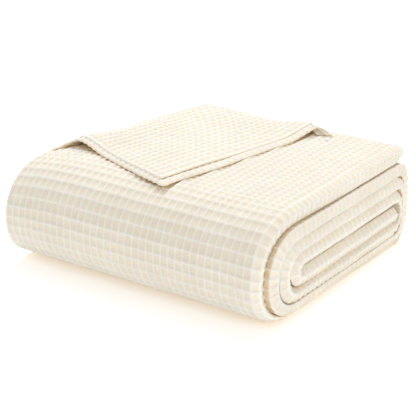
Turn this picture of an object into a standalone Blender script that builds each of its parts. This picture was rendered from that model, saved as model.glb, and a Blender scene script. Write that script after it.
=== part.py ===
"""A waffle-weave throw blanket, folded into a strip of four plies and rolled flat, one corner turned back.

The roll's axis is X, with the folded edge of the strip at +X and its open, hemmed edges at -X. The front
of the roll is at -Y. The origin is on the floor, under the middle of the roll. Sizes are metres.
"""

import math

import bmesh
import bpy
from mathutils import Vector

# Driving dimensions: the open end of the roll, the thickness of one ply, the gap kept between touching
# solids, and how far a wrap runs past its neighbour's turn.
LEFT_END = -0.180
PLY = 0.004
GAP = 0.0004
LAP = 0.002
# The shape of a turn (2 is an ellipse, more is squarer) and how finely the sweep is divided.
TURN_FULLNESS = 2.3
TURN_STEPS = 16
ARM_STEP = 0.030
EDGE_STEPS = 5
SMALLEST_SECTION = 0.25
SHARP_ANGLE = 50

# The levels of the strip, from the free end inwards: height of its middle, and its thickness there.
TOP = [(0.1155, 0.0170), (0.0965, 0.0172), (0.0803, 0.0140), (0.0646, 0.0160)]
BOTTOM = [(0.0029, 0.0058), (0.0111, 0.0096), (0.0246, 0.0162), (0.0424, 0.0182)]
# Where each turn reaches furthest: its middle, its thickness, and how far it is from the arms' ends.
FRONT_TURN = [
    (-0.1605, 0.0160, 0.066),
    (-0.1410, 0.0195, 0.050),
    (-0.1200, 0.0205, 0.030),
    (-0.0983, 0.0200, 0.016),
]
BACK_TURN = [(0.1645, 0.0080, 0.024), (0.1557, 0.0080, 0.021), (0.1470, 0.0080, 0.018)]
FREE_END = 0.1525
INNER_END = 0.1355
# The folded edge of each wrap. The inner wraps stand a little further out than the outer one.
FOLDED_EDGE = [0.1690, 0.1765, 0.1790, 0.1800]

# The turned-back corner: where its fold starts at each edge of the strip, the ridge between them, and the
# two tips.
FOLD_AT_SIDE = (-0.1620, -0.0540)
RIDGE = [(-0.1560, 0.0300), (-0.1330, 0.1080), (-0.1080, 0.1280), (-0.0760, 0.1330)]
FOLD_AT_BACK = (0.0700, 0.1320)
LOWER_TIP = (0.0205, -0.1255)
UPPER_TIP = (0.0130, -0.1185)
TOP_OF_ROLL = TOP[0][0] + TOP[0][1] / 2
BARED_PLIES = TOP_OF_ROLL - 2 * PLY
# How far the cutters reach past the roll's sides and past the tips.
FAR_OUT = 0.25
PAST_TIP = 0.20
# The lifting plies: how far they start inside the fold's ends, and the gap that each needs in front of it.
HINGE_INSET = 0.006
FOLD_CLEARANCE = 0.003
LIFT_CLEARANCE = 0.009
HEM_WIDTH = 0.008
HEM_AT_FOLD = 1.2


def material(name, colour, roughness):
    made = bpy.data.materials.new(name)
    made.use_nodes = True
    shader = made.node_tree.nodes["Principled BSDF"]
    shader.inputs["Base Color"].default_value = (*colour, 1.0)
    shader.inputs["Roughness"].default_value = roughness
    shader.inputs["Metallic"].default_value = 0.0
    return made


def add_object(name, mesh, finish):
    made = bpy.data.objects.new(name, mesh)
    made.data.materials.append(finish)
    bpy.context.scene.collection.objects.link(made)
    return made


def arm(start_y, end_y, start, end):
    """Points (y, z, thickness) along a straight stretch of the strip, without its last point."""
    count = max(2, round(abs(end_y - start_y) / ARM_STEP))
    points = []
    for step in range(count):
        t = step / count
        level = start[0] + (end[0] - start[0]) * t
        thickness = start[1] + (end[1] - start[1]) * t
        points.append((start_y + (end_y - start_y) * t, level, thickness))
    return points


def turn(furthest, start, end):
    """Points (y, z, thickness) round a turn of the strip, from the level of one arm to that of the next."""
    reach_y, thickness_there, depth = furthest
    side = math.copysign(1.0, reach_y)
    middle_y = reach_y - side * depth
    middle_z = (start[0] + end[0]) / 2
    half = (start[0] - end[0]) / 2
    power = 2.0 / TURN_FULLNESS
    points = []
    for step in range(TURN_STEPS + 1):
        angle = math.pi * step / TURN_STEPS
        out = abs(math.sin(angle)) ** power
        up = math.copysign(abs(math.cos(angle)) ** power, math.cos(angle))
        nearest = start[1] if angle < math.pi / 2 else end[1]
        thickness = nearest + (thickness_there - nearest) * math.sin(angle) ** 2
        points.append((middle_y + side * depth * out, middle_z + half * up, thickness))
    return points


def turn_start(furthest):
    reach_y, _, depth = furthest
    return reach_y - math.copysign(depth, reach_y)


def wrap_path(number):
    """The strip's middle line through one wrap: back turn, top arm, front turn, bottom arm."""
    path = []
    if number == 0:
        top_start = FREE_END
    else:
        top_start = turn_start(BACK_TURN[number - 1])
        path.append((top_start - LAP + GAP, *BOTTOM[number - 1]))
        path += turn(BACK_TURN[number - 1], BOTTOM[number - 1], TOP[number])[:-1]
    front = turn_start(FRONT_TURN[number])
    path += arm(top_start, front, TOP[number], TOP[number])
    path += turn(FRONT_TURN[number], TOP[number], BOTTOM[number])
    last = INNER_END if number == len(TOP) - 1 else turn_start(BACK_TURN[number]) - LAP
    path += arm(front, last, BOTTOM[number], BOTTOM[number])[1:]
    path.append((last, *BOTTOM[number]))
    return path


def rounded_end(path, at_start):
    """The path with its end tapered to a round nose, as a soft edge of several plies is."""
    points = list(reversed(path)) if at_start else list(path)
    y, z, thickness = points.pop()
    side = math.copysign(1.0, y - points[-1][0])
    for step in range(EDGE_STEPS + 1):
        angle = math.pi / 2 * step / EDGE_STEPS
        back = thickness / 2 * (1 - math.sin(angle))
        section = max(math.cos(angle), SMALLEST_SECTION)
        points.append((y - side * back, z, thickness * section))
    return list(reversed(points)) if at_start else points


def section(point, normal, thickness, folded_edge):
    """One ring of the strip: square at its open edges, and round at its folded edge."""
    half = thickness / 2
    ring = [(LEFT_END, half)]
    for step in range(EDGE_STEPS + 1):
        angle = math.pi / 2 - math.pi * step / EDGE_STEPS
        ring.append((folded_edge - half + half * math.cos(angle), half * math.sin(angle)))
    ring.append((LEFT_END, -half))
    return [Vector((x, point[0] + normal[0] * across, point[1] + normal[1] * across)) for x, across in ring]


def sweep(name, path, folded_edge, finish):
    bm = bmesh.new()
    rings = []
    for index, (y, z, thickness) in enumerate(path):
        before = path[max(index - 1, 0)]
        after = path[min(index + 1, len(path) - 1)]
        along = Vector((after[0] - before[0], after[1] - before[1])).normalized()
        normal = (-along.y, along.x)
        rings.append([bm.verts.new(corner) for corner in section((y, z), normal, thickness, folded_edge)])
    count = len(rings[0])
    for first, second in zip(rings, rings[1:]):
        for corner in range(count):
            after = (corner + 1) % count
            bm.faces.new((first[corner], first[after], second[after], second[corner]))
    bm.faces.new(reversed(rings[0]))
    bm.faces.new(rings[-1])
    bmesh.ops.recalc_face_normals(bm, faces=bm.faces)
    mesh = bpy.data.meshes.new(name)
    bm.to_mesh(mesh)
    bm.free()
    mesh.shade_smooth()
    mesh.set_sharp_from_angle(angle=math.radians(SHARP_ANGLE))
    return add_object(name, mesh, finish)


def plate(name, outline, low, high, finish):
    """A flat ply with the given outline, seen from above, between two heights."""
    bm = bmesh.new()
    base = bm.faces.new([bm.verts.new((x, y, low)) for x, y in outline])
    raised = bmesh.ops.extrude_face_region(bm, geom=[base])
    lifted = [item for item in raised["geom"] if isinstance(item, bmesh.types.BMVert)]
    bmesh.ops.translate(bm, vec=(0, 0, high - low), verts=lifted)
    bmesh.ops.recalc_face_normals(bm, faces=bm.faces)
    mesh = bpy.data.meshes.new(name)
    bm.to_mesh(mesh)
    bm.free()
    return add_object(name, mesh, finish)


def towards(start, end, distance):
    """The point that is a distance from start on the way to end."""
    a, b = Vector(start), Vector(end)
    return tuple(a + (b - a).normalized() * distance)


def inset(outline, distance):
    """The outline moved inwards by a distance on every side, for an outline that runs anticlockwise."""
    made = []
    count = len(outline)
    for index in range(count):
        here = Vector(outline[index])
        before = (here - Vector(outline[index - 1])).normalized()
        after = (Vector(outline[(index + 1) % count]) - here).normalized()
        in_before = Vector((-before.y, before.x))
        in_after = Vector((-after.y, after.x))
        split = in_before + in_after
        made.append(tuple(here + split * (distance / (1 + in_before.dot(in_after)))))
    return made


def beside(along, forward, near, far):
    """A long band beside the hinge line, from a distance behind it to a distance in front of it."""
    side = Vector(FOLD_AT_SIDE) - along * FAR_OUT
    back = Vector(FOLD_AT_BACK) + along * FAR_OUT
    corners = [side + forward * near, side + forward * far, back + forward * far, back + forward * near]
    return [tuple(corner) for corner in corners]


def cut(target, cutter):
    cutter.hide_render = True
    cutter.display_type = "WIRE"
    boolean = target.modifiers.new("cut", "BOOLEAN")
    boolean.object = cutter
    boolean.solver = "EXACT"


def clear_scene():
    for old in list(bpy.data.objects):
        bpy.data.objects.remove(old, do_unlink=True)


def main():
    clear_scene()
    cloth = material("waffle_cloth", (0.86, 0.80, 0.68), 0.92)
    lit_cloth = material("corner_cloth", (0.90, 0.85, 0.75), 0.92)
    hem_cloth = material("hem_cloth", (0.82, 0.75, 0.62), 0.90)

    names = ["outer_wrap", "second_wrap", "third_wrap", "core_wrap"]
    wraps = []
    for number, name in enumerate(names):
        path = wrap_path(number)
        if number == 0:
            path = rounded_end(path, at_start=True)
        if number == len(names) - 1:
            path = rounded_end(path, at_start=False)
        wraps.append(sweep(name, path, FOLDED_EDGE[number], cloth))

    # What stays put when the corner is lifted: the fold, from the hinge line back to the ridge. Its upper
    # ply goes down round the ridge to the bared plies, and its lower ply ends inside that bend.
    along = (Vector(FOLD_AT_BACK) - Vector(FOLD_AT_SIDE)).normalized()
    forward = Vector((along.y, -along.x))
    lower_base = TOP_OF_ROLL + GAP
    upper_base = lower_base + PLY + GAP
    ridge = [FOLD_AT_BACK, *reversed(RIDGE), FOLD_AT_SIDE]
    inside_ridge = inset(ridge, PLY + 2 * GAP)
    lower = plate("corner_fold_lower", inside_ridge, lower_base, lower_base + PLY, lit_cloth)
    upper = plate("corner_fold_upper", inset(ridge, GAP), BARED_PLIES + GAP, upper_base + PLY, lit_cloth)
    inner_ridge = inset(ridge, PLY)
    open_side = [tuple(Vector(inner_ridge[index]) + forward * PAST_TIP) for index in (-1, 0)]
    pocket = plate("fold_pocket_cutter", inner_ridge + open_side, BARED_PLIES - PLY, upper_base, hem_cloth)
    cut(upper, pocket)
    front_band = beside(along, forward, -FOLD_CLEARANCE, PAST_TIP)
    front = plate("fold_front_cutter", front_band, BARED_PLIES - PLY, upper_base + 2 * PLY, hem_cloth)
    cut(upper, front)
    cut(lower, front)

    # The two upper plies of the strip are gone behind the ridge, where the corner has been turned back.
    back_x = FOLD_AT_BACK[0] + GAP
    side_y = FOLD_AT_SIDE[1] - GAP
    bared = [(back_x, FAR_OUT), (back_x, inside_ridge[0][1] - PLY), *inside_ridge]
    bared += [(inside_ridge[-1][0] + PLY, side_y), (-FAR_OUT, side_y), (-FAR_OUT, FAR_OUT)]
    cut(wraps[0], plate("bared_corner_cutter", bared, BARED_PLIES, TOP_OF_ROLL + PLY, hem_cloth))

    # What lifts: two plies, each with a hem round its two free edges, and each on its own hinge line.
    lift_from_side = Vector(FOLD_AT_SIDE) + along * HINGE_INSET
    lift_from_back = Vector(FOLD_AT_BACK) - along * HINGE_INSET
    layers = [("lower", LOWER_TIP, lower_base, 0.0), ("upper", UPPER_TIP, upper_base, LIFT_CLEARANCE)]
    for layer, tip, base, step_forward in layers:
        side = lift_from_side + forward * step_forward
        back = lift_from_back + forward * step_forward
        panel = [tuple(side), tip, tuple(back)]
        inner_side = towards(tuple(side), tuple(back), HEM_WIDTH * HEM_AT_FOLD)
        inner_back = towards(tuple(back), tuple(side), HEM_WIDTH * HEM_AT_FOLD)
        inner_tip = inset(panel, HEM_WIDTH)[1]
        cloth_outline = inset([inner_side, inner_tip, inner_back], GAP / 2)
        plate("turned_corner_" + layer, cloth_outline, base, base + PLY, lit_cloth)
        hem = [tuple(side), tip, tuple(back), inner_back, inner_tip, inner_side]
        plate("corner_hem_" + layer, hem, base, base + PLY - GAP / 2, hem_cloth)


main()
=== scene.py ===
# %% [markdown]
# # A waffle-weave throw, folded and rolled
# This lesson builds a thick cotton throw that lies folded in four, rolled flat, with one corner turned back.
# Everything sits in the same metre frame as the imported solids, which give the size of the bundle and the
# hinges on which the corner lifts. The solids themselves are plain; the cloth made here stands for them.

# %% The frame and its box
import math

import bpy
import numpy as np
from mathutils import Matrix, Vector


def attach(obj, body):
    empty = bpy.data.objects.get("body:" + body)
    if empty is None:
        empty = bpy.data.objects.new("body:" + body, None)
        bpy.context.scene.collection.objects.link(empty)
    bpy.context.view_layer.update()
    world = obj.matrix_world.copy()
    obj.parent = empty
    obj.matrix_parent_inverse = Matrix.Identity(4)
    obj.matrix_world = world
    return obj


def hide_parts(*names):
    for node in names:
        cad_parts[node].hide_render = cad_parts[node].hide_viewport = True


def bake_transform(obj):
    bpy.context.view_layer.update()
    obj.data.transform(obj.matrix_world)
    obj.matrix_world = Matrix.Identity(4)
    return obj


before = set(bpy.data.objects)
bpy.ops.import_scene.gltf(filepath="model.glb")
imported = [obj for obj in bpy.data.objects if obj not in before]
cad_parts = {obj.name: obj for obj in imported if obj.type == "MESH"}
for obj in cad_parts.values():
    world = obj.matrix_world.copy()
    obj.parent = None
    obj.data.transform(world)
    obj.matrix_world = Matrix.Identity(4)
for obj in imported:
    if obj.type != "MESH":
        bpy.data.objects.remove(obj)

scene = bpy.context.scene
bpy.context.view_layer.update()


def add_object(name, data):
    made = bpy.data.objects.new(name, data)
    scene.collection.objects.link(made)
    return made


# %% [markdown]
# ## The roll's line
# The blanket is folded in four into a strip, and the strip is rolled flat. Seen from its end, the strip's
# middle line is a flat spiral of four wraps: each has a top arm, a front turn, a bottom arm and a back turn.
# The arms are straight lines, and the turns are superellipses, which are a little squarer than an ellipse,
# as thick cloth is. The height and the thickness of every level are listed from the outside inwards.

# %% Levels and turns of the strip
FREE_END = 0.1525
INNER_END = 0.1355
# Each arm is its middle's height and its thickness.
TOP = [(0.1155, 0.0170), (0.0965, 0.0172), (0.0803, 0.0140), (0.0646, 0.0160)]
BOTTOM = [(0.0029, 0.0058), (0.0111, 0.0096), (0.0246, 0.0162), (0.0424, 0.0182)]
# Each turn is its furthest y, its thickness there and its depth.
FRONT_TURN = [
    (-0.1605, 0.0160, 0.066),
    (-0.1410, 0.0195, 0.050),
    (-0.1200, 0.0205, 0.030),
    (-0.0983, 0.0200, 0.016),
]
BACK_TURN = [(0.1645, 0.0080, 0.024), (0.1557, 0.0080, 0.021), (0.1470, 0.0080, 0.018)]
print(len(TOP) + len(BOTTOM), "levels of the strip lie on each other")

# %% [markdown]
# ## Turns and arms
# A curve object could follow the spiral, but every row also needs its thickness. So the line is made as rows
# of numbers: a turn is half of a superellipse, and an arm is a straight run of points.

# %% Shape one turn and one arm
TURN_FULLNESS = 2.3
TURN_STEPS = 48
ARM_STEP = 0.004


def half_turn(furthest, start, end):
    """Rows of (y, z, thickness) round one turn of the strip."""
    reach, thickness, depth = furthest
    angle = np.linspace(0, math.pi, TURN_STEPS + 1)
    side = math.copysign(1.0, reach)
    out = np.abs(np.sin(angle)) ** (2 / TURN_FULLNESS)
    up = np.sign(np.cos(angle)) * np.abs(np.cos(angle)) ** (2 / TURN_FULLNESS)
    y = reach - side * depth * (1 - out)
    z = (start[0] + end[0]) / 2 + (start[0] - end[0]) / 2 * up
    nearest = np.where(angle < math.pi / 2, start[1], end[1])
    thick = nearest + (thickness - nearest) * np.sin(angle) ** 2
    return np.column_stack([y, z, thick])


def straight(start_y, end_y, level):
    """The same rows along one arm, without its first point."""
    y = np.arange(start_y, end_y, math.copysign(ARM_STEP, end_y - start_y))[1:]
    return np.column_stack([y, np.full(len(y), level[0]), np.full(len(y), level[1])])


def begins(furthest):
    """The y at which a turn leaves its arms."""
    return furthest[0] - math.copysign(furthest[2], furthest[0])


# %% Join the arms and the turns
pieces_of_line = [np.array([[FREE_END, *TOP[0]]])]
wrap_ends = []
for wrap in range(len(TOP)):
    if wrap:
        pieces_of_line.append(half_turn(BACK_TURN[wrap - 1], BOTTOM[wrap - 1], TOP[wrap]))
    here = begins(BACK_TURN[wrap - 1]) if wrap else FREE_END
    there = begins(BACK_TURN[wrap]) if wrap < len(BACK_TURN) else INNER_END
    pieces_of_line += [
        straight(here, begins(FRONT_TURN[wrap]), TOP[wrap]),
        half_turn(FRONT_TURN[wrap], TOP[wrap], BOTTOM[wrap]),
        straight(begins(FRONT_TURN[wrap]), there, BOTTOM[wrap]),
    ]
    wrap_ends.append(sum(len(part) for part in pieces_of_line) - 1)
rough = np.vstack(pieces_of_line)
print("rough line of", len(rough), "points in", len(wrap_ends), "wraps")

# %% [markdown]
# ## One smooth line, measured by its length
# The rows above meet at small corners, so the line is walked in millimetre steps and smoothed a little.
# Its length is the blanket's length, because the cloth is rolled up without any stretch. The strip gets
# thinner over the last centimetre of its free end, where its plies are pressed together.

# %% Smooth the line and measure it
STEP = 0.001
PLACE_SMOOTHING = 4
THICKNESS_SMOOTHING = 8
NOSE_LENGTH = 0.014
NOSE_LEAST, NOSE_GAIN = 0.70, 0.30


def lengths(points):
    """Length along a line at each of its points, in its first two coordinates."""
    return np.concatenate([[0], np.cumsum(np.linalg.norm(np.diff(points[:, :2], axis=0), axis=1))])


def smoothed(values, width):
    """Values averaged along the line with a bell curve of this width in samples; the ends stay put."""
    reach = int(3 * width)
    bell = np.exp(-0.5 * (np.arange(-reach, reach + 1) / width) ** 2)
    first, last = values[:1], values[-1:]
    padded = np.concatenate([2 * first - values[reach:0:-1], values, 2 * last - values[-2 : -reach - 2 : -1]])
    return np.convolve(padded, bell / bell.sum(), mode="valid")


run = lengths(rough)
walk = np.arange(0, run[-1], STEP)
widths = (PLACE_SMOOTHING, PLACE_SMOOTHING, THICKNESS_SMOOTHING)
line = np.column_stack([smoothed(np.interp(walk, run, rough[:, k]), width) for k, width in enumerate(widths)])
line[:, 2] *= NOSE_LEAST + NOSE_GAIN * np.clip(walk / NOSE_LENGTH, 0, 1) ** 0.5
wrap_starts = [0.0] + [float(run[index]) for index in wrap_ends]
along_line = np.gradient(line[:, :2], axis=0)
along_line /= np.linalg.norm(along_line, axis=1)[:, None]
outward_line = np.column_stack([along_line[:, 1], -along_line[:, 0]])
print("rolled length", round(float(run[-1]), 3), "m in wraps of", np.round(np.diff(wrap_starts), 3))

# %% [markdown]
# ## The waffle's pitch
# A waffle weave is a grid of raised ridges round small sunken squares, about 10 mm apart. Across the roll the
# pitch is constant. Round the front the cloth is pulled a little, so the cells are longer there. The pitch is
# added up along the line, so any place on the cloth can be named by its count of cells.

# %% Count the cells along the strip
PITCH = 0.0097
TOP_PITCH = 0.0092
FRONT_PITCH = 0.0116
FRONT_DELAY = 0.01
FRONT_LENGTH = 0.20
PITCH_SMOOTHING = 22

top_end = wrap_starts[0] + (FREE_END - begins(FRONT_TURN[0]))
front_end = top_end + FRONT_LENGTH
local_pitch = np.full(len(walk), PITCH)
local_pitch[walk < top_end] = TOP_PITCH
local_pitch[(walk >= top_end + FRONT_DELAY) & (walk < front_end)] = FRONT_PITCH
local_pitch = smoothed(local_pitch, PITCH_SMOOTHING)
cell_count = np.concatenate([[0], np.cumsum(STEP / local_pitch[:-1])])
print(int(cell_count[-1]), "cells along the strip")

# %% [markdown]
# ## The waffle's height
# Real geometry is used and not only a bump, because the ridges show in the outline. Each cell is sampled only
# where its shape changes: at the ridge, at the ridge's foot and in the middle of the square. The ridges that
# run down the roll are lower than the ones along it, because the roll pulls them flat.

# %% Height of the weave
RELIEF = 0.0027
RIDGE_HALF_WIDTH = 0.19
LOW_RIDGE = 0.75
TWO_STEPS = (0.0, 0.5)
FOUR_STEPS = (0.0, 0.16, 0.5, 0.84)
SIX_STEPS = (0.0, 0.10, 0.20, 0.5, 0.80, 0.90)


def eased(t):
    return t * t * (3 - 2 * t)


def ridge(phase):
    """1 on a ridge line and 0 in the middle of a cell."""
    off = np.abs(phase - np.round(phase))
    return eased(np.clip(1 - off / RIDGE_HALF_WIDTH, 0, 1))


def waffle(across, down):
    """Height of the weave, 0 in the squares and 1 on the ridges, from the cell counts both ways."""
    return 1 - (1 - ridge(across)) * (1 - LOW_RIDGE * ridge(down))


def cell_lines(first_cell, last_cell, steps=FOUR_STEPS):
    return np.array([cell + step for cell in range(first_cell, last_cell) for step in steps])


print("one cell in section:", np.round(ridge(np.array(SIX_STEPS)), 2))

# %% [markdown]
# ## Nothing is quite straight
# Cloth folded by hand wavers. A sum of a few long sine waves in random directions is enough for that, and a
# fixed seed for each use gives the same cloth on every run.

# %% A slow sway
SWAY_WAVES = 7
SWAY_TURNS = 0.55
SWAY_SIZE = 3.2


def sway(across, down, seed):
    """A slow, soft unevenness, between about -1 and 1."""
    draw = np.random.default_rng(seed)
    total = np.zeros(np.broadcast(across, down).shape)
    for _ in range(SWAY_WAVES):
        turn_x, turn_y = draw.normal(0, SWAY_TURNS, 2)
        total += np.sin(across * turn_x + down * turn_y + draw.uniform(0, 2 * math.pi))
    return total / SWAY_SIZE


# %% [markdown]
# ## Cloth with a thickness
# Every ply is a grid of points with a normal at each. One skin is laid above the grid and one below it, and
# the rim between them is closed with a soft, slightly bulging edge, so the result is one closed body. Solidify
# could do this, but it can't give each skin its own weave. First come helpers that find the rim.

# %% Find the rim of a grid
def unique_corners(corners):
    """A face without its repeated corners, or nothing where it has folded onto itself."""
    kept = [c for k, c in enumerate(corners) if c != corners[k - 1]]
    return kept if len(set(kept)) == len(kept) else []


def rim_loop(faces):
    """Directed edges that only one face has."""
    seen = set()
    for face in faces:
        for k, corner in enumerate(face):
            seen.add((face[k - 1], corner))
    return [(i, j) for i, j in seen if (j, i) not in seen]


def away_from_cloth(middle, normal, faces, rim):
    """Directions in the sheet's own plane that point off its rim."""
    centre = np.zeros((len(middle), 3))
    touched = np.zeros(len(middle))
    for face in faces:
        middle_of_face = middle[face].mean(axis=0)
        for c in face:
            centre[c] += middle_of_face
            touched[c] += 1
    away = middle[rim] - centre[rim] / touched[rim][:, None]
    return away - normal[rim] * (away * normal[rim]).sum(axis=1)[:, None]


def quads_of(grid):
    """The squares between the points of a grid of point numbers."""
    return np.stack([grid[:-1, :-1], grid[:-1, 1:], grid[1:, 1:], grid[1:, :-1]], axis=-1).reshape(-1, 4)


# %% [markdown]
# ## What a sheet remembers
# The cotton's yarn and the painted shade and highlight of its weave follow the cloth, not the room. So the weave's
# height is kept on each point as an attribute, which sets that painted shade and highlight, and the cell counts
# become the UV map.
# Where a sheet is cut only because two of its parts move apart, the cut's edges are marked sharp, so that neither
# side is shaded round it.

# %% Write the weave on a mesh
def write_weave(mesh, heights, counts):
    # The weave height also sets the cotton's painted shade in the squares and its painted highlight on the ridges.
    mesh.attributes.new("weave", "FLOAT", "POINT").data.foreach_set("value", heights.astype(np.float32))
    corner_of = np.empty(len(mesh.loops), np.int32)
    mesh.loops.foreach_get("vertex_index", corner_of)
    layer = mesh.uv_layers.new(name="cells")
    layer.uv.foreach_set("vector", counts[corner_of].astype(np.float32).ravel())


def mark_sharp(mesh, flagged):
    """Marks the edges between two flagged points."""
    ends = np.empty(len(mesh.edges) * 2, np.int32)
    mesh.edges.foreach_get("vertices", ends)
    sharp = flagged[ends.reshape(-1, 2)].all(axis=1)
    mesh.attributes.new("sharp_edge", "BOOLEAN", "EDGE").data.foreach_set("value", sharp)


# %% [markdown]
# ## Closing the sheet
# The points of the grid that no face uses are dropped. The upper skin keeps the faces as they are, and the
# lower skin has them turned round, so both face outwards. Two quads for each rim edge, with a line of points
# between them that is pushed out a little, close the body with a soft edge.

# %% Make a closed sheet
RIM_BULGE = 0.0010
RIM_LEAST = 0.4
RIM_ABOVE, RIM_BELOW = 0.2, 0.8
# The rim's weave height, which puts its painted shade between that of the squares and that of the ridges.
RIM_WEAVE = 0.6


def cloth_sheet(name, middle, normal, above, below, weave_above, weave_below, cells, faces, crisp=None, outer=None):
    """One closed body. above, below: heights of both skins; crisp: points on a cut; outer: ways off the rim."""
    used = np.unique([c for face in faces for c in face])
    index = {int(old): new for new, old in enumerate(used)}
    faces = [[index[c] for c in face] for face in faces]
    count = len(used)
    middle, normal, above, below = middle[used], normal[used], above[used], below[used]
    weave_above, weave_below, cells = weave_above[used], weave_below[used], cells[used]
    crisp = np.zeros(count, bool) if crisp is None else crisp[used]
    outer = np.zeros((count, 3)) if outer is None else outer[used]
    edges = rim_loop(faces)
    rim = np.array(sorted({i for edge in edges for i in edge}))
    rim_index = {int(i): 2 * count + k for k, i in enumerate(rim)}
    told = np.abs(outer[rim]).sum(axis=1) > 0
    away = np.where(told[:, None], outer[rim], away_from_cloth(middle, normal, faces, rim))
    away /= np.maximum(np.linalg.norm(away, axis=1)[:, None], 1e-9)
    push = np.where(crisp[rim] & ~told, 0.0, RIM_BULGE) * (RIM_LEAST + weave_above[rim])
    height = (RIM_ABOVE * above - RIM_BELOW * below)[rim]
    edge_points = middle[rim] + normal[rim] * height[:, None] + away * push[:, None]
    points = np.vstack([middle + normal * above[:, None], middle - normal * below[:, None], edge_points])
    all_faces = faces + [[c + count for c in reversed(face)] for face in faces]
    for i, j in edges:
        all_faces.append([j, i, rim_index[i], rim_index[j]])
        all_faces.append([rim_index[j], rim_index[i], i + count, j + count])
    mesh = bpy.data.meshes.new(name)
    mesh.from_pydata(points.tolist(), [], all_faces)
    heights = np.concatenate([weave_above, weave_below, np.full(len(rim), RIM_WEAVE)])
    write_weave(mesh, heights, np.vstack([cells, cells, cells[rim]]))
    mesh.shade_smooth()
    if crisp.any():
        on_cut = crisp & np.isin(np.arange(count), rim)
        mark_sharp(mesh, np.concatenate([on_cut, on_cut, np.zeros(len(rim), bool)]))
    mesh.validate()
    return add_object(name, mesh)


# %% [markdown]
# ## The open end settles
# The left end of the bundle is open, so it sinks a little under its own weight. It sinks most at the back,
# where two of the plies are turned away. Every sheet goes through the same helper, so they stay in contact.

# %% Let the left end sink
SINK_FROM_X, SINK_LENGTH, SINK = -0.085, 0.095, 0.072
THIN_FROM_X, THIN_LENGTH = -0.095, 0.050
THIN_FROM_Y, THIN_DEPTH = 0.085, 0.065
THIN_SINK = 0.045


def settled(points):
    """The points lowered towards the floor by their place in the bundle."""
    sunk = np.clip((SINK_FROM_X - points[..., 0]) / SINK_LENGTH, 0, 1) ** 2
    to_back = np.clip((points[..., 1] - THIN_FROM_Y) / THIN_DEPTH, 0, 1)
    to_left = np.clip((THIN_FROM_X - points[..., 0]) / THIN_LENGTH, 0, 1)
    lowered = points.copy()
    lowered[..., 2] *= 1 - SINK * sunk - THIN_SINK * (to_back * to_left)
    return lowered


# %% [markdown]
# ## The strip's cross-section
# The blanket was folded in half and then in half again, so four plies lie on each other. The outer sheet
# goes round the folded edge at the right, and the inner sheet lies inside it. At the left the outer sheet
# curls round the end of the third ply, which is the blanket's first fold, and the two upper plies end in
# hems. A cross-section is walked by its length, so the cells keep their size round the fold.

# %% Walk a cross-section
FOLD_FULLNESS = 2.9


def cross_section(u, start_x, fold_x, radius, end_x, curl):
    """x, t and the outward direction (x, t) at length u of the section, for one station of the roll."""
    first = fold_x - start_x
    bend = math.pi * radius
    second = fold_x - end_x
    square = 2 / FOLD_FULLNESS
    x, t = np.empty(len(u)), np.empty(len(u))
    nx, nt = np.zeros(len(u)), np.ones(len(u))
    on_first = u <= first
    x[on_first] = start_x + u[on_first]
    t[on_first] = radius
    on_bend = (u > first) & (u <= first + bend)
    angle = (u[on_bend] - first) / radius
    out, up = np.sin(angle), np.cos(angle)
    x[on_bend] = fold_x + radius * np.abs(out) ** square
    t[on_bend] = radius * np.sign(up) * np.abs(up) ** square
    nx[on_bend], nt[on_bend] = np.abs(out) ** (2 - square), np.sign(up) * np.abs(up) ** (2 - square)
    size = np.hypot(nx[on_bend], nt[on_bend])
    nx[on_bend] /= size
    nt[on_bend] /= size
    on_second = (u > first + bend) & (u <= first + bend + second)
    x[on_second] = fold_x - (u[on_second] - first - bend)
    t[on_second] = -radius
    nt[on_second] = -1
    on_curl = u > first + bend + second
    angle = (u[on_curl] - first - bend - second) / max(curl, 1e-6)
    x[on_curl] = end_x - curl * np.sin(angle)
    t[on_curl] = -radius + curl * (1 - np.cos(angle))
    nx[on_curl], nt[on_curl] = -np.sin(angle), -np.cos(angle)
    return x, t, nx, nt


# %% [markdown]
# ## Where the two upper plies stop
# Behind the turned-back corner the two upper plies are gone, because they are the corner. The foot of the
# fold runs from the left edge round the back of the corner to the blanket's free end.

# %% The foot of the turned-back fold
FOOT = [
    (-0.2000, -0.1200),
    (-0.1790, -0.0850),
    (-0.1590, -0.0490),
    (-0.1420, -0.0180),
    (-0.1325, 0.0120),
    (-0.1260, 0.0450),
    (-0.1205, 0.0800),
    (-0.1175, 0.1060),
    (-0.1140, 0.1330),
    (-0.1000, 0.1420),
    (-0.0800, 0.1400),
    (-0.0500, 0.1350),
    (-0.0200, 0.1325),
    (0.0200, 0.1310),
    (0.0450, 0.1385),
    (0.0750, 0.1440),
    (0.1300, 0.1500),
]
FOOT_STEP = 0.0015
FOOT_SMOOTHING = 7

corners = np.array(FOOT)
corner_run = lengths(corners)
foot_walk = np.arange(0, corner_run[-1], FOOT_STEP)
foot = np.column_stack([smoothed(np.interp(foot_walk, corner_run, corners[:, k]), FOOT_SMOOTHING) for k in (0, 1)])
foot_run = lengths(foot)
foot_along = np.gradient(foot, axis=0)
foot_along /= np.linalg.norm(foot_along, axis=1)[:, None]
foot_inward = np.column_stack([foot_along[:, 1], -foot_along[:, 0]])
print("foot of the fold", round(float(foot_run[-1]), 3), "m long")

# %% Where a row of the top begins
CORNER_STARTS_Y = -0.083
CORNER_ENDS_X = 0.074
FOOT_SIDE_X = -0.100
FOOT_BACK_Y = 0.135
FOOT_GAP = 0.006


def plies_start(y, on_top):
    """The left end of the two upper plies at a station of the roll."""
    if not on_top or y < CORNER_STARTS_Y:
        return None
    if y > FOOT_BACK_Y:
        return CORNER_ENDS_X
    left_side = foot[:, 0] < FOOT_SIDE_X
    return float(np.interp(y, foot[left_side, 1], foot[left_side, 0])) + FOOT_GAP


# %% [markdown]
# ## Rows of a wrap
# A sheet's grid has a row for each place along the strip. Rows are close where the weave shows, and far
# apart on the underside. Each row is one cross-section, set across the strip's line. The folded edge wanders
# in and out a little along the roll, and the outermost wrap is the fluffiest.

# %% Stations along a wrap
UNDERSIDE_FROM = front_end + 0.035
STATION_GAP = 0.1


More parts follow.
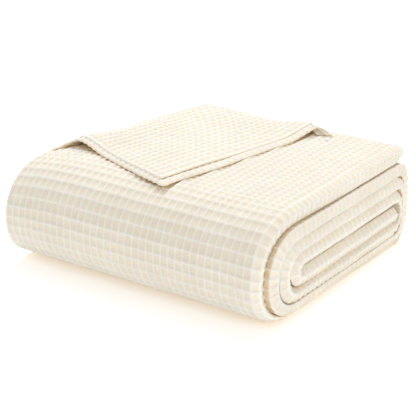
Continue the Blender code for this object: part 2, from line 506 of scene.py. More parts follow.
def stations(wrap):
    """Cell counts of a wrap's rows, from its first end to its last."""
    first = np.interp(wrap_starts[wrap], walk, cell_count)
    last = np.interp(min(wrap_starts[wrap + 1], walk[-1]), walk, cell_count)
    counts = []
    for cell in range(int(first), int(last) + 1):
        hidden = wrap == 0 and np.interp(cell, cell_count, walk) > UNDERSIDE_FROM
        counts += [cell + step for step in (TWO_STEPS if hidden else FOUR_STEPS)]
    counts = [c for c in counts if first + STATION_GAP < c < last - STATION_GAP]
    return np.array([first] + counts + [last])


# %% [markdown]
# ## The middle of a sheet
# Four plies share the strip's thickness. The outer sheet's middle lies half a ply inside the surface, and the
# inner sheet's one and a half. Both are walked from their left edge, round the folded edge and back again.

# %% Lay out the middle of one sheet
LEFT_END = -0.180
OUTER_ENDS = (LEFT_END + 0.0035, LEFT_END + 0.0055)
INNER_ENDS = (LEFT_END + 0.0050, LEFT_END + 0.0080)
PLY = 0.004
PLIES = 4.1
LEAST_RADIUS = 0.0002
PUFF = 1.04
EXTRA_LOFT = (0.0020, 0.0010, 0.0004, 0.0003)
LOFT_FADE = 0.3
FACING_UP = 0.9
# Pairs of a length along the strip and the x of its folded edge there.
FOLDED_EDGE = [
    (0.00, 0.1725),
    (0.03, 0.1752),
    (0.10, 0.1745),
    (0.24, 0.1725),
    (0.45, 0.1715),
    (0.60, 0.1735),
    (0.68, 0.1765),
    (1.40, 0.1785),
    (2.60, 0.1800),
]


def ply_rows(wrap, outer, at, from_start, from_end):
    """Points, normals and ply thickness in rows at the lengths at, and the column where each row begins."""
    y, z, thick = (np.interp(at, walk, line[:, k]) for k in range(3))
    out_y, out_z = (np.interp(at, walk, outward_line[:, k]) for k in range(2))
    thick = thick * PUFF + EXTRA_LOFT[wrap] * np.clip((out_z + 1) / LOFT_FADE, 0, 1)
    edge = np.interp(at, *np.array(FOLDED_EDGE).T)
    start_x, end_x = OUTER_ENDS if outer else INNER_ENDS
    shape = (len(at), len(from_start) + len(from_end))
    middle, normal, ply = np.zeros((*shape, 3)), np.zeros((*shape, 3)), np.zeros(shape)
    begin = np.zeros(len(at), int)
    for row in range(len(at)):
        cloth = min(PLY, thick[row] / PLIES)
        radius = max(thick[row] / 2 - cloth * (0.5 if outer else 1.5), LEAST_RADIUS)
        fold_x = edge[row] - thick[row] / 2
        curl = cloth / 2 if outer else 0.0
        total = fold_x - start_x + math.pi * radius + fold_x - end_x + math.pi * curl
        u = np.concatenate([from_start * PITCH, total - from_end * PITCH])
        cut = plies_start(y[row], wrap == 0 and out_z[row] > FACING_UP)
        x, t, nx, nt = cross_section(u, start_x, fold_x, radius, end_x, curl)
        if cut is not None:
            clamped = (u <= fold_x - start_x) & (x < cut)
            begin[row] = max(int(clamped.sum()) - 1, 0)
            x[clamped] = cut
        middle[row] = np.column_stack([x, y[row] + t * out_y[row], z[row] + t * out_z[row]])
        normal[row] = np.column_stack([nx, nt * out_y[row], nt * out_z[row]])
        ply[row] = cloth
    return middle, normal, ply, begin


# %% [markdown]
# ## Squares of a wrap
# Each wrap is two sheets, the outer and the inner one of the fold. A row that would start left of the
# turned-back corner is drawn in to the fold's foot, and the squares that this closes are dropped. Beyond the
# visible back turn the second wrap lies under other cloth, so its four columns a cell become one.

# %% Join the rows into squares
BACK_IN_VIEW = 0.125
BOTH_ENDS = (4, 33)
ROUNDING = 1e-6


def hidden_part(wrap, outer, at, from_start):
    """Rows of the second wrap that other cloth covers, and the columns between its two ends."""
    if wrap != 1 or not outer:
        return np.zeros(len(at), bool), np.zeros(0, int)
    in_middle = np.flatnonzero((from_start > BOTH_ENDS[0]) & (from_start < BOTH_ENDS[1]))
    return at > wrap_starts[wrap] + BACK_IN_VIEW, in_middle


def wrap_faces(shape, begin, covered, in_middle, from_start):
    grid = np.arange(shape[0] * shape[1]).reshape(shape)
    for row, skip in enumerate(begin):
        grid[row, :skip] = grid[row, skip]
    kept_column = np.arange(shape[1])
    whole_cell = np.floor(from_start[in_middle] + ROUNDING) - ROUNDING
    kept_column[in_middle] = np.searchsorted(from_start, whole_cell)
    grid[covered] = grid[covered][:, kept_column]
    faces = [unique_corners(quad) for quad in quads_of(grid).tolist()]
    return [face for face in faces if len(face) > 2]


def turned_outwards(faces, points, normal):
    """The faces, all turned round if the one in the middle faces against its normal."""
    probe = faces[len(faces) // 2]
    a, b, c = points[probe[0]], points[probe[1]], points[probe[2]]
    return [face[::-1] for face in faces] if np.dot(np.cross(b - a, c - a), normal[probe[0]]) < 0 else faces


# %% [markdown]
# ## Weaving a sheet
# The waffle's height is added to the skin that shows, and the other skin stays plain. The cells waver by a
# few hundredths of their size, and the skins swell and sink together over several cells.

# %% Weave one sheet of a wrap
ACROSS_SWAY, DOWN_SWAY = 0.05, 0.06
ACROSS_CELLS = 60
SWELL = 0.0006
THIN_PLY = 0.35


def wrap_sheet(name, wrap, outer, from_start, from_end, woven_above, woven_below):
    """from_start, from_end: grid lines in cells, from the first and from the last edge of the section."""
    counts = stations(wrap)
    at = np.interp(counts, cell_count, walk)
    middle, normal, ply, begin = ply_rows(wrap, outer, at, from_start, from_end)
    covered, in_middle = hidden_part(wrap, outer, at, from_start)
    faces = wrap_faces(ply.shape, begin, covered, in_middle, from_start)
    rows, columns = counts[:, None], np.concatenate([from_start, from_end])[None, :]
    across = columns + ACROSS_SWAY * sway(rows * 0.7, 1.0, wrap)
    even_columns = np.concatenate([from_start, ACROSS_CELLS - from_end])[None, :]
    down = rows + DOWN_SWAY * sway(even_columns, rows, 7)
    snap = waffle(columns, rows)
    woven_above = np.broadcast_to(woven_above, ply.shape).copy()
    woven_above[np.ix_(covered, in_middle)] = 0
    swell = sway(across * 0.55, down * 0.45, 11 + wrap) * SWELL
    fade = np.clip(ply / PLY, THIN_PLY, 1)
    above = ply / 2 + (ply / 2 + swell + RELIEF * (snap - 0.5) * woven_above - ply / 2) * fade
    below = ply / 2 + (ply / 2 - swell + RELIEF * (snap - 0.5) * woven_below[None, :] - ply / 2) * fade
    weave_above = 1 + (snap - 1) * woven_above
    weave_below = np.broadcast_to(1 + (snap - 1) * woven_below[None, :], ply.shape)
    points, normals = middle.reshape(-1, 3), normal.reshape(-1, 3)
    cells = np.stack(np.broadcast_arrays(across, down), axis=-1).reshape(-1, 2)
    heights = [values.ravel() for values in (above, below, weave_above, weave_below)]
    made = cloth_sheet(name, settled(points), normals, *heights, cells, turned_outwards(faces, points, normals))
    wide = float(np.linalg.norm(np.diff(middle[len(counts) // 2], axis=0), axis=1).sum())
    long = float(at[-1] - at[0])
    print(name, len(made.data.polygons), "faces,", round(wide, 3), "m wide and", round(long, 3), "m long")
    return made, (wide, long)


# %% [markdown]
# ## Eight sheets
# Grid lines are fine where the weave shows and coarse where cloth lies on cloth. The two outermost wraps are
# fine all over their outer sheet; the inner wraps show only at the open left end and at the folded right end.

# %% Lines of the grid across the plies
OUTERMOST_CELLS = 42
FOLD_CELLS = 43
COARSE_STEP = 3.0


def lines_from_start(wrap):
    """Lines from the section's first edge, and 1 for each that is woven."""
    if wrap < 2:
        lines = cell_lines(0, OUTERMOST_CELLS)
        return lines, np.ones(len(lines))
    left, right = cell_lines(0, BOTH_ENDS[0]), cell_lines(BOTH_ENDS[1], FOLD_CELLS)
    middle = np.arange(*BOTH_ENDS, 1.0)
    woven = np.concatenate([np.ones(len(left)), np.zeros(len(middle)), np.ones(len(right))])
    return np.concatenate([left, middle, right]), woven


def lines_from_end(fine_cells, coarse_cells):
    """Lines counted back from the section's last edge, and 1 for each that is woven."""
    fine = cell_lines(0, fine_cells)
    coarse = np.arange(fine_cells, coarse_cells, COARSE_STEP)
    woven = np.concatenate([np.ones(len(fine)), np.zeros(len(coarse))])
    order = np.argsort(-np.concatenate([fine, coarse]))
    return np.concatenate([fine, coarse])[order], woven[order]


# %% Make the wraps
WRAP_NAMES = ["outer_wrap", "second_wrap", "third_wrap", "core_wrap"]
LOWER_FACE_CELLS = 31
INNER_FACE_CELLS = 33
TOP_WOVEN_CELLS, HIDDEN_WOVEN_CELLS = 27, 2
inner_start = np.concatenate([cell_lines(0, 2), np.arange(2, 33, COARSE_STEP), np.arange(33, 37.5, 0.5)])

wraps = []
for wrap, solid in enumerate(WRAP_NAMES):
    start, woven_start = lines_from_start(wrap)
    end, woven_end = lines_from_end(BOTH_ENDS[0], LOWER_FACE_CELLS)
    woven = np.concatenate([woven_start, woven_end])
    wraps.append((solid, *wrap_sheet(solid + "_outer_plies", wrap, True, start, end, woven, np.zeros(len(woven)))))
    end, woven_end = lines_from_end(HIDDEN_WOVEN_CELLS if wrap else TOP_WOVEN_CELLS, INNER_FACE_CELLS)
    woven = np.concatenate([np.zeros(len(inner_start)), woven_end])
    plain = np.zeros(len(woven))
    wraps.append((solid, *wrap_sheet(solid + "_inner_plies", wrap, False, inner_start, end, plain, woven)))

# %% [markdown]
# ## The turned-back corner, laid out flat
# Two plies come up out of the stack, bend over in a soft fold and lie forward over the top. The weave runs on
# across the fold, so the corner is laid out in plan first, in metres from its two hemmed edges. Both hems are
# pulled forward a little where they arch off the roll.

# %% Lay the corner out flat
UPPER_TIP = np.array([0.0165, -0.1195])
EDGE_AT_BACK = np.array([0.0620, 0.1280])
ROW_PITCH = 0.0101
LEFT_EDGE_ANGLE = math.radians(160.9)
MOST_TURN = 1.2
ARCH_X = -0.146
BACK_PULL_LENGTH = 0.010
# Each pull: the length over which it grows, its most, and how soon it dies away from the hem.
ARCH_PULL = (0.026, 0.027, 0.045)
BACK_PULL = (0.022, 0.008, 0.035)


def pulled(past, pull, from_hem):
    grows, most, fades = pull
    return most * np.clip(past / grows, 0, 1) ** 1.5 * np.exp(-((from_hem / fades) ** 2))


def laid_out(a, b):
    """Plan position of a point that is a metres from the back hem's edge and b metres from the side hem's."""
    to_back = EDGE_AT_BACK - UPPER_TIP
    full = np.linalg.norm(to_back)
    angle = LEFT_EDGE_ANGLE + (math.pi - LEFT_EDGE_ANGLE) * np.clip(b / full, 0, MOST_TURN)
    plan = UPPER_TIP + (to_back / full) * b[..., None]
    plan = plan + a[..., None] * np.stack([np.cos(angle), np.sin(angle)], axis=-1)
    plan[..., 1] -= pulled(ARCH_X - plan[..., 0], ARCH_PULL, b)
    plan[..., 0] += pulled(b - full + BACK_PULL_LENGTH, BACK_PULL, a)
    return plan


print("side hem", round(float(np.linalg.norm(EDGE_AT_BACK - UPPER_TIP)), 3), "m from tip to fold")

# %% [markdown]
# ## Measuring from the fold's foot
# The bend moves each point by its distance from the foot of the fold. The fold is wide and open at the left,
# where the edges arch off the roll, tight along the back, and open again at its right end. Near the foot's
# own bend, the nearest point jumps from one side to the other, so width, rise and direction are averaged
# softly over all that is near, which keeps the cloth free of kinks.

# %% Distance, direction, width and rise
# Pairs of a length along the foot and the fold's width or rise there.
FOLD_WIDTHS = [(0.040, 0.0260), (0.085, 0.0240), (0.160, 0.0110), (0.240, 0.0095)]
FOLD_WIDTHS += [(0.410, 0.0095), (0.460, 0.0165), (0.500, 0.0180)]
FOLD_RISES = [(0.020, 0.0040), (0.055, 0.0115), (0.085, 0.0065), (0.120, 0.0022), (0.160, 0.0014)]
FOLD_RISES += [(0.240, 0.0010), (0.300, 0.0006), (0.400, 0.0006), (0.445, 0.0075), (0.490, 0.0080)]
fold_width = np.interp(foot_run, *np.array(FOLD_WIDTHS).T)
fold_rise = np.interp(foot_run, *np.array(FOLD_RISES).T)
NEAR, NEAR_GROWTH = 0.007, 0.12
LEAST_AGREEMENT = 0.3
BATCH = 4000


def near_foot(plan):
    """Depth behind the fold's foot, and the foot's inward direction, width and rise averaged over what is near."""
    flat = plan.reshape(-1, 2)
    known = np.column_stack([foot_inward, fold_width, fold_rise])
    depth, local = np.empty(len(flat)), np.empty((len(flat), known.shape[1]))
    for first in range(0, len(flat), BATCH):
        part = flat[first : first + BATCH]
        gap = part[:, None, :] - foot[None]
        far = np.linalg.norm(gap, axis=2)
        nearest = far.argmin(axis=1)
        every = np.arange(len(part))
        side = np.sign((gap[every, nearest] * foot_inward[nearest]).sum(axis=1))
        depth[first : first + BATCH] = side * far[every, nearest]
        least = far.min(axis=1)[:, None]
        weight = np.exp(-(far - least) / (NEAR + NEAR_GROWTH * least))
        local[first : first + BATCH] = weight @ known / weight.sum(axis=1)[:, None]
    shape = plan.shape[:-1]
    inward = local[:, :2] / np.maximum(np.linalg.norm(local[:, :2], axis=1), LEAST_AGREEMENT)[:, None]
    return depth.reshape(shape), inward.reshape(*shape, 2), local[:, 2].reshape(shape), local[:, 3].reshape(shape)


print("the fold rises by up to", round(float(fold_rise.max()) * 1000, 1), "mm")

# %% [markdown]
# ## Bending it over
# From its foot the cloth goes up round a quarter ellipse and then lies forward, settling onto the top. Below
# the foot it tucks in between the plies. The lower ply takes the same path one ply further in. At its right
# end the fold's lower half flares forward, so that the mouth of the fold stays open.

# %% Bend it over
UPPER_REST = 0.1312
PLY_STEP = 0.0034
FOOT_HEIGHT, FOOT_STEP_UP = 0.1190, 0.0040
LEAST_WIDTH = 0.0035
SETTLE_LENGTH = 0.055
TUCK = 0.0022
MOUTH_FLARE = np.array([0.009, -0.012])
MOUTH_X, MOUTH_LENGTH = 0.020, 0.040


def bent_over(plan, layer):
    """The plan bent round the fold. layer is 0 for the upper ply and 1 for the lower one."""
    depth, inward, width_here, rise_here = near_foot(plan)
    inset = layer * PLY_STEP
    wide = np.maximum(width_here - inset, LEAST_WIDTH)
    top = UPPER_REST + rise_here - inset
    low = FOOT_HEIGHT + layer * FOOT_STEP_UP
    rise = top - low
    reach = math.pi / 2 * np.sqrt((wide**2 + rise**2) / 2)
    quarter = np.clip(depth / reach, 0, 1) * math.pi / 2
    away = np.where(depth > reach, wide + (depth - reach), wide * (1 - np.cos(quarter)))
    height = np.where(depth > reach, top, low + rise * np.sin(quarter))
    height = height - rise_here * eased(np.clip((depth - reach) / SETTLE_LENGTH, 0, 1))
    under = np.clip(-depth / TUCK, 0, math.pi / 2)
    flat_under = np.clip(-depth - TUCK * math.pi / 2, 0, None)
    away = np.where(depth < 0, TUCK * (1 - np.cos(under)) + flat_under, away)
    height = np.where(depth < 0, low - TUCK * np.sin(under) + TUCK, height)
    placed = plan + inward * (away - depth + inset)[..., None]
    down = np.clip((reach - depth) / reach, 0, 1)
    flare = down * (2 - down) * np.clip((plan[..., 0] - MOUTH_X) / MOUTH_LENGTH, 0, 1) ** 2
    placed = placed + flare[..., None] * MOUTH_FLARE
    return np.concatenate([placed, height[..., None]], axis=-1), depth


# %% [markdown]
# ## The corner's grid
# The grid is counted in cells from the two hemmed edges. The lower ply reaches a little past the upper one,
# so it gets a few more lines outside the first cell. The weave is softer near the hems, where the cloth is
# turned under and sewn.

# %% Grid of one ply of the corner
CORNER_CELLS = (27, 33)
HIDDEN_TUCK = 0.012
HEM_CELLS = 0.7
EDGE_SWAY = 0.0007
HEIGHT_SWAY = 0.0007


def lines_from_hem(outset, pitch, cells):
    """Grid lines in cells from the hemmed edge, and three more where the ply reaches out by outset metres."""
    lines = cell_lines(0, cells, SIX_STEPS)
    beyond = [-outset / pitch, -0.5 * outset / pitch, -0.25 * outset / pitch]
    return np.concatenate([beyond, lines]) if outset else lines


def corner_grid(layer, outset_a, outset_b):
    lines_a = lines_from_hem(outset_a, PITCH, CORNER_CELLS[0])
    lines_b = lines_from_hem(outset_b, ROW_PITCH, CORNER_CELLS[1])
    count_b, count_a = np.meshgrid(lines_b, lines_a, indexing="ij")
    edge_wave = EDGE_SWAY * sway(count_a * 0.8, count_b * 0.8, 21 + layer)
    placed, depth = bent_over(laid_out(count_a * PITCH + edge_wave, count_b * ROW_PITCH + edge_wave), layer)
    keep = depth > -(TUCK * math.pi / 2 + HIDDEN_TUCK)
    placed[..., 2] += HEIGHT_SWAY * sway(count_a * 0.5, count_b * 0.5, 31)
    normal = np.cross(np.gradient(placed, axis=0), np.gradient(placed, axis=1))
    normal /= np.maximum(np.linalg.norm(normal, axis=-1)[..., None], 1e-12)
    hem = np.clip(np.minimum(count_a - lines_a[0], count_b - lines_b[0]) / HEM_CELLS, 0, 1)
    return count_a, count_b, placed, normal, keep, hem


# %% [markdown]
# ## Where the upper ply is cut
# The lower ply is one sheet. The upper one is cut where its own hinge is, because a sheet can bend between
# two moving bodies but not between three. Both parts share the points along the cut, so no gap shows.

# %% Cut at the upper hinge
HINGE_FORWARD = np.array([0.62551, -0.78021])
HINGE_LOWER = np.array([-0.0460, 0.0390])
HINGE_UPPER = np.array([-0.0404, 0.0320])
CUT_FORWARD = 0.004
CUT_HEIGHT = 0.126


def cut_at_hinge(quads, placed, keep, part):
    """Which squares belong to this part of a ply, and which points lie on the cut."""
    inside = keep.ravel()[quads].all(axis=1)
    if part is None:
        return inside, None
    forward = ((placed[..., :2] - HINGE_UPPER) @ HINGE_FORWARD).ravel()
    beyond = forward[quads].mean(axis=1) > CUT_FORWARD
    beyond &= (placed[..., 2] > CUT_HEIGHT).ravel()[quads].all(axis=1)
    chosen = beyond if part == "turned" else ~beyond
    sides = np.zeros((2, keep.size), bool)
    sides[0][quads[inside & chosen].ravel()] = True
    sides[1][quads[inside & ~chosen].ravel()] = True
    return inside & chosen, sides[0] & sides[1]


# %% Size of a ply and its hem line
HEM_LINE = 0.5


def ply_size(points, cells, faces):
    """Width, length and area of the flat ply, from its cells and from its middle surface."""
    across = points[faces[:, 2]] - points[faces[:, 0]]
    along = points[faces[:, 3]] - points[faces[:, 1]]
    area = float(np.linalg.norm(np.cross(across, along), axis=1).sum() / 2)
    wide, long = (float(np.ptp(cells[np.unique(faces), k])) * PITCH for k in (0, 1))
    return wide, long, area


def hem_paths(skin, count_a, count_b, in_piece):
    """The two lines of the upper skin on which the hems are sewn."""
    column = int(np.argmin(np.abs(count_a[0] - HEM_LINE)))
    row = int(np.argmin(np.abs(count_b[:, 0] - HEM_LINE)))
    return [skin[row:, column][in_piece[row:, column]], skin[row, column:][in_piece[row, column:]]]


# %% [markdown]
# ## The three sheets of the corner
# Both skins of these plies are woven, because both can be seen when the corner lifts. The lower skin's weave
# is a little flatter, since it lies on other cloth.

# %% Build the plies of the corner
CORNER_HALF = PLY / 2 * 0.92
BELOW_HALF = 0.9
BELOW_RELIEF = 0.8
HEM_RELIEF, HEM_RELIEF_GAIN = 0.45, 0.55
ON_TOP_COLUMN = 20


def corner_sheet(name, layer, outsets, part=None):
    count_a, count_b, placed, normal, keep, hem = corner_grid(layer, *outsets)
    if normal[len(placed) // 3, ON_TOP_COLUMN, 2] < 0:
        normal = -normal
    snap = waffle(count_a, count_b)
    softened = HEM_RELIEF + HEM_RELIEF_GAIN * hem
    above = CORNER_HALF + RELIEF * softened * (snap - 0.5)
    below = CORNER_HALF * BELOW_HALF + RELIEF * BELOW_RELIEF * softened * (snap - 0.5)
    grid = np.arange(count_a.size).reshape(count_a.shape)
    quads = quads_of(grid)
    inside, crisp = cut_at_hinge(quads, placed, keep, part)
    outer = np.zeros(placed.shape)
    outer[:, 0] += placed[:, 0] - placed[:, 1]
    outer[0] += placed[0] - placed[1]
    points, normals = settled(placed).reshape(-1, 3), normal.reshape(-1, 3)
    faces = turned_outwards(quads[inside].tolist(), points, normals)
    cells = np.stack([count_a, count_b], axis=-1).reshape(-1, 2)
    heights = [values.ravel() for values in (above, below, snap, snap)]
    made = cloth_sheet(name, points, normals, *heights, cells, faces, crisp, outer.reshape(-1, 3))
    skin = points.reshape(placed.shape) + normal * above[..., None]
    wide, long, area = ply_size(points, cells, np.array(faces))
    print(name, len(made.data.polygons), "faces, area", round(area, 4), "of", round(wide, 3), "x", round(long, 3))
    return made, (wide, long), area, hem_paths(skin, count_a, count_b, np.isin(grid, faces))


lower_ply = corner_sheet("turned_ply_lower", 1, (0.0072, 0.0065))
upper_fold = corner_sheet("corner_fold_ply", 0, (0.0, 0.0), "ridge")
upper_ply = corner_sheet("turned_ply_upper", 0, (0.0, 0.0), "turned")

# %% [markdown]
# ## Small helpers for node trees
# Materials and Geometry Nodes are both trees of nodes joined by links. These helpers add a node, join pairs of
# sockets, start a material with plain values on its shader, and make a ramp between two colours.

# %% Helpers for node trees
def link_chain(tree, *pairs):
    for source, target in pairs:
        tree.links.new(source, target)


def node(tree, kind, **values):
    made = tree.nodes.new(kind)
    for key, value in values.items():
        setattr(made, key, value)
    return made


def preset(target, values):
    for socket, value in values.items():
        target.inputs[socket].default_value = value


def new_finish(name, values):
    """A material, its node tree and its Principled shader with these plain values."""
    made = bpy.data.materials.new(name)
    made.use_nodes = True
    shader = made.node_tree.nodes["Principled BSDF"]
    preset(shader, values)
    return made, made.node_tree, shader


def colour_ramp(tree, low_colour, high_colour, start=0.0, end=1.0):
    made = node(tree, "ShaderNodeValToRGB")
    stops = made.color_ramp.elements
    stops[0].color, stops[1].color = (*low_colour, 1), (*high_colour, 1)
    stops[0].position, stops[1].position = start, end
    return made


# %% [markdown]
# ## The yarn
# The yarn is far finer than the waffle, so it is a bump: two crossed sets of waves that follow the cell
# counts, with a fine noise for the fuzz. A slow noise comes out as well, for the mottle of undyed cotton.

# %% A node group for the yarn
YARN_DEFAULTS = {"Yarns": 14.0, "Fuzz Scale": 900.0, "Fuzz": 0.5}


def counted_wave(group, cells, yarns):
    """A sine wave with this many periods in each cell."""
    scaled = node(group, "ShaderNodeMath", operation="MULTIPLY")
    turned = node(group, "ShaderNodeMath", operation="MULTIPLY")
    turned.inputs[1].default_value = 2 * math.pi
    wave = node(group, "ShaderNodeMath", operation="SINE")
    link_chain(
        group,
        (cells, scaled.inputs[0]),
        (yarns, scaled.inputs[1]),
        (scaled.outputs[0], turned.inputs[0]),
        (turned.outputs[0], wave.inputs[0]),
    )
    return wave.outputs[0]


def yarn_group():
    group = bpy.data.node_groups.new("cotton_yarn", "ShaderNodeTree")
    for name, default in YARN_DEFAULTS.items():
        made = group.interface.new_socket(name=name, in_out="INPUT", socket_type="NodeSocketFloat")
        made.default_value = default
    for name in ("Height", "Mottle"):
        group.interface.new_socket(name=name, in_out="OUTPUT", socket_type="NodeSocketFloat")
    entry, leave = node(group, "NodeGroupInput"), node(group, "NodeGroupOutput")
    uv = node(group, "ShaderNodeUVMap", uv_map="cells")
    place = node(group, "ShaderNodeTexCoord")
    split = node(group, "ShaderNodeSeparateXYZ")
    crossed = node(group, "ShaderNodeMath", operation="MULTIPLY")
    fuzz = node(group, "ShaderNodeTexNoise")
    fuzz.inputs["Detail"].default_value = 3.0
    fuzzy = node(group, "ShaderNodeMath", operation="MULTIPLY")
    total = node(group, "ShaderNodeMath", operation="ADD")
    mottle = node(group, "ShaderNodeTexNoise")
    preset(mottle, {"Scale": 26.0, "Detail": 5.0})
    link_chain(
        group,
        (uv.outputs["UV"], split.inputs["Vector"]),
        (counted_wave(group, split.outputs["X"], entry.outputs["Yarns"]), crossed.inputs[0]),
        (counted_wave(group, split.outputs["Y"], entry.outputs["Yarns"]), crossed.inputs[1]),
        (place.outputs["Object"], fuzz.inputs["Vector"]),
        (entry.outputs["Fuzz Scale"], fuzz.inputs["Scale"]),
        (fuzz.outputs["Fac"], fuzzy.inputs[0]),
        (entry.outputs["Fuzz"], fuzzy.inputs[1]),
        (crossed.outputs[0], total.inputs[0]),
        (fuzzy.outputs[0], total.inputs[1]),
        (total.outputs[0], leave.inputs["Height"]),
        (place.outputs["Object"], mottle.inputs["Vector"]),
        (mottle.outputs["Fac"], leave.inputs["Mottle"]),
    )
    return group


YARN = yarn_group()
print("yarn group with", len(YARN.nodes), "nodes")

# %% [markdown]
# ## The cotton
# Undyed cotton is a warm cream. The ridges are painted a little paler, a painted highlight where they catch the
# light, and the sunken squares warmer and darker, painted shade where light goes through more cloth. An
# ambient-occlusion mask paints shade
# on a larger scale: it is low between the wraps and under the corner, and there the colour turns to a deep straw as
# painted shade.

# %% The cotton
# Painted shade between the wraps and under the corner, mixed in where the ambient-occlusion mask is low.
PAINTED_CREASE_SHADE = (0.92, 0.72, 0.44)
# Painted shade for the sunken squares and a painted highlight for the ridges; the cotton itself is one cream.
SQUARE_PAINTED_SHADE = (0.850, 0.787, 0.672)
RIDGE_PAINTED_HIGHLIGHT = (0.930, 0.912, 0.862)
MOTTLE_DARK = (0.93, 0.91, 0.87)
CREASE_DISTANCE = 0.016
YARN_DEPTH = 0.00022
COTTON_VALUES = {
    "Roughness": 0.92,
    "Specular IOR Level": 0.15,
    "Sheen Weight": 0.25,
    "Sheen Roughness": 0.5,
    "Subsurface Weight": 0.35,
    "Subsurface Radius": (1.0, 0.62, 0.32),
    "Subsurface Scale": 0.003,
}


def cotton():
    made, tree, shader = new_finish("cream_cotton", COTTON_VALUES)
    yarn = node(tree, "ShaderNodeGroup", node_tree=YARN)
    weave = node(tree, "ShaderNodeAttribute", attribute_name="weave")
    # Ramp from the squares' painted shade to the ridges' painted highlight, by the weave height.
    cream = colour_ramp(tree, SQUARE_PAINTED_SHADE, RIDGE_PAINTED_HIGHLIGHT, 0.05, 0.75)
    openness = node(tree, "ShaderNodeAmbientOcclusion", samples=8)
    preset(openness, {"Distance": CREASE_DISTANCE})
    # Painted shade in the creases: the colour turns to a deep straw where the ambient-occlusion mask is low.
    crease_shade_mask = node(tree, "ShaderNodeMapRange", interpolation_type="SMOOTHSTEP")
    preset(crease_shade_mask, {"From Min": 0.05, "From Max": 0.70})
    crease_shaded = node(tree, "ShaderNodeMix", data_type="RGBA")
    preset(crease_shaded, {"A": (*PAINTED_CREASE_SHADE, 1)})
    shade = node(tree, "ShaderNodeMix", data_type="RGBA", blend_type="MULTIPLY")
    preset(shade, {"Factor": 0.35})
    tones = colour_ramp(tree, MOTTLE_DARK, (1, 1, 1), 0.35, 0.62)
    bump = node(tree, "ShaderNodeBump")
    preset(bump, {"Strength": 0.35, "Distance": YARN_DEPTH})
    link_chain(
        tree,
        (weave.outputs["Fac"], cream.inputs["Fac"]),
        (yarn.outputs["Mottle"], tones.inputs["Fac"]),
        (cream.outputs["Color"], shade.inputs["A"]),
        (tones.outputs["Color"], shade.inputs["B"]),
        (openness.outputs["AO"], crease_shade_mask.inputs["Value"]),
        (crease_shade_mask.outputs["Result"], crease_shaded.inputs["Factor"]),
        (shade.outputs["Result"], crease_shaded.inputs["B"]),
        (crease_shaded.outputs["Result"], shader.inputs["Base Color"]),
        (yarn.outputs["Height"], bump.inputs["Height"]),
        (bump.outputs["Normal"], shader.inputs["Normal"]),
    )
    return made


COTTON = cotton()
print("finish", COTTON.name, "with", len(COTTON.node_tree.nodes), "nodes")

# %% [markdown]
# ## Sewing thread
# The thread is the same cotton, spun finer and smoother, so it shines a little more than the cloth. A fine
# noise gives its twist.

# %% The sewing thread
THREAD_DARK, THREAD_PALE = (0.80, 0.73, 0.60), (0.92, 0.89, 0.82)
TWIST_SCALE = 1400.0


def thread_finish():
    made, tree, shader = new_finish("sewing_thread", {"Roughness": 0.7, "Sheen Weight": 0.15})
    place = node(tree, "ShaderNodeTexCoord")
    twist = node(tree, "ShaderNodeTexNoise")
    preset(twist, {"Scale": TWIST_SCALE})
    tones = colour_ramp(tree, THREAD_DARK, THREAD_PALE)
    bump = node(tree, "ShaderNodeBump")
    preset(bump, {"Distance": 0.0001})
    link_chain(
        tree,
        (place.outputs["Object"], twist.inputs["Vector"]),
        (twist.outputs["Fac"], tones.inputs["Fac"]),
        (tones.outputs["Color"], shader.inputs["Base Color"]),
        (twist.outputs["Fac"], bump.inputs["Height"]),
        (bump.outputs["Normal"], shader.inputs["Normal"]),
    )
    return made


THREAD = thread_finish()
print("finish", THREAD.name)

# %% [markdown]
# ## The stitches of the hems
# The corner's two free edges are blanket hems, turned under and sewn down with one row of small stitches.
# Stitches repeat along a path, so Geometry Nodes make them: the path is resampled at the stitch pitch, and a
# small rounded bead of thread is laid along it at each point.

# %% A node tree that sews along a path
STITCH_SIZES = {"Stitch Pitch": 0.0044, "Stitch Length": 0.0034, "Thread Width": 0.0007}
BEAD = {"Segments": 6, "Rings": 4, "Radius": 0.5}
BEAD_FACES = BEAD["Segments"] * BEAD["Rings"]


def stitch_tree():
    tree = bpy.data.node_groups.new("hem_stitches", "GeometryNodeTree")
    tree.interface.new_socket(name="Path", in_out="INPUT", socket_type="NodeSocketGeometry")
    for name in STITCH_SIZES:
        tree.interface.new_socket(name=name, in_out="INPUT", socket_type="NodeSocketFloat")
    tree.interface.new_socket(name="Stitches", in_out="OUTPUT", socket_type="NodeSocketGeometry")
    entry, leave = node(tree, "NodeGroupInput"), node(tree, "NodeGroupOutput")
    path = node(tree, "GeometryNodeMeshToCurve")
    spaced = node(tree, "GeometryNodeCurveToPoints", mode="LENGTH")
    bead = node(tree, "GeometryNodeMeshUVSphere")
    preset(bead, BEAD)
    size = node(tree, "ShaderNodeCombineXYZ")
    laid = node(tree, "GeometryNodeInstanceOnPoints")
    real = node(tree, "GeometryNodeRealizeInstances")
    finish = node(tree, "GeometryNodeSetMaterial")
    preset(finish, {"Material": THREAD})
    link_chain(
        tree,
        (entry.outputs["Path"], path.inputs["Mesh"]),
        (path.outputs["Curve"], spaced.inputs["Curve"]),
        (entry.outputs["Stitch Pitch"], spaced.inputs["Length"]),
        (entry.outputs["Thread Width"], size.inputs["X"]),
        (entry.outputs["Thread Width"], size.inputs["Y"]),
        (entry.outputs["Stitch Length"], size.inputs["Z"]),
        (spaced.outputs["Points"], laid.inputs["Points"]),
        (spaced.outputs["Rotation"], laid.inputs["Rotation"]),
        (bead.outputs["Mesh"], laid.inputs["Instance"]),
        (size.outputs["Vector"], laid.inputs["Scale"]),
        (laid.outputs["Instances"], real.inputs["Geometry"]),
        (real.outputs["Geometry"], finish.inputs["Geometry"]),
        (finish.outputs["Geometry"], leave.inputs["Stitches"]),
    )
    return tree


STITCHES = stitch_tree()
print("stitch tree with", len(STITCHES.nodes), "nodes")

# %% [markdown]
# ## Sewing each ply
# A row of stitches has to bend with its own ply, so each ply's hems get a mesh of their own. The path is a
# plain line of edges on the ply's upper skin. Once the tree has run on it, its result becomes a plain mesh.

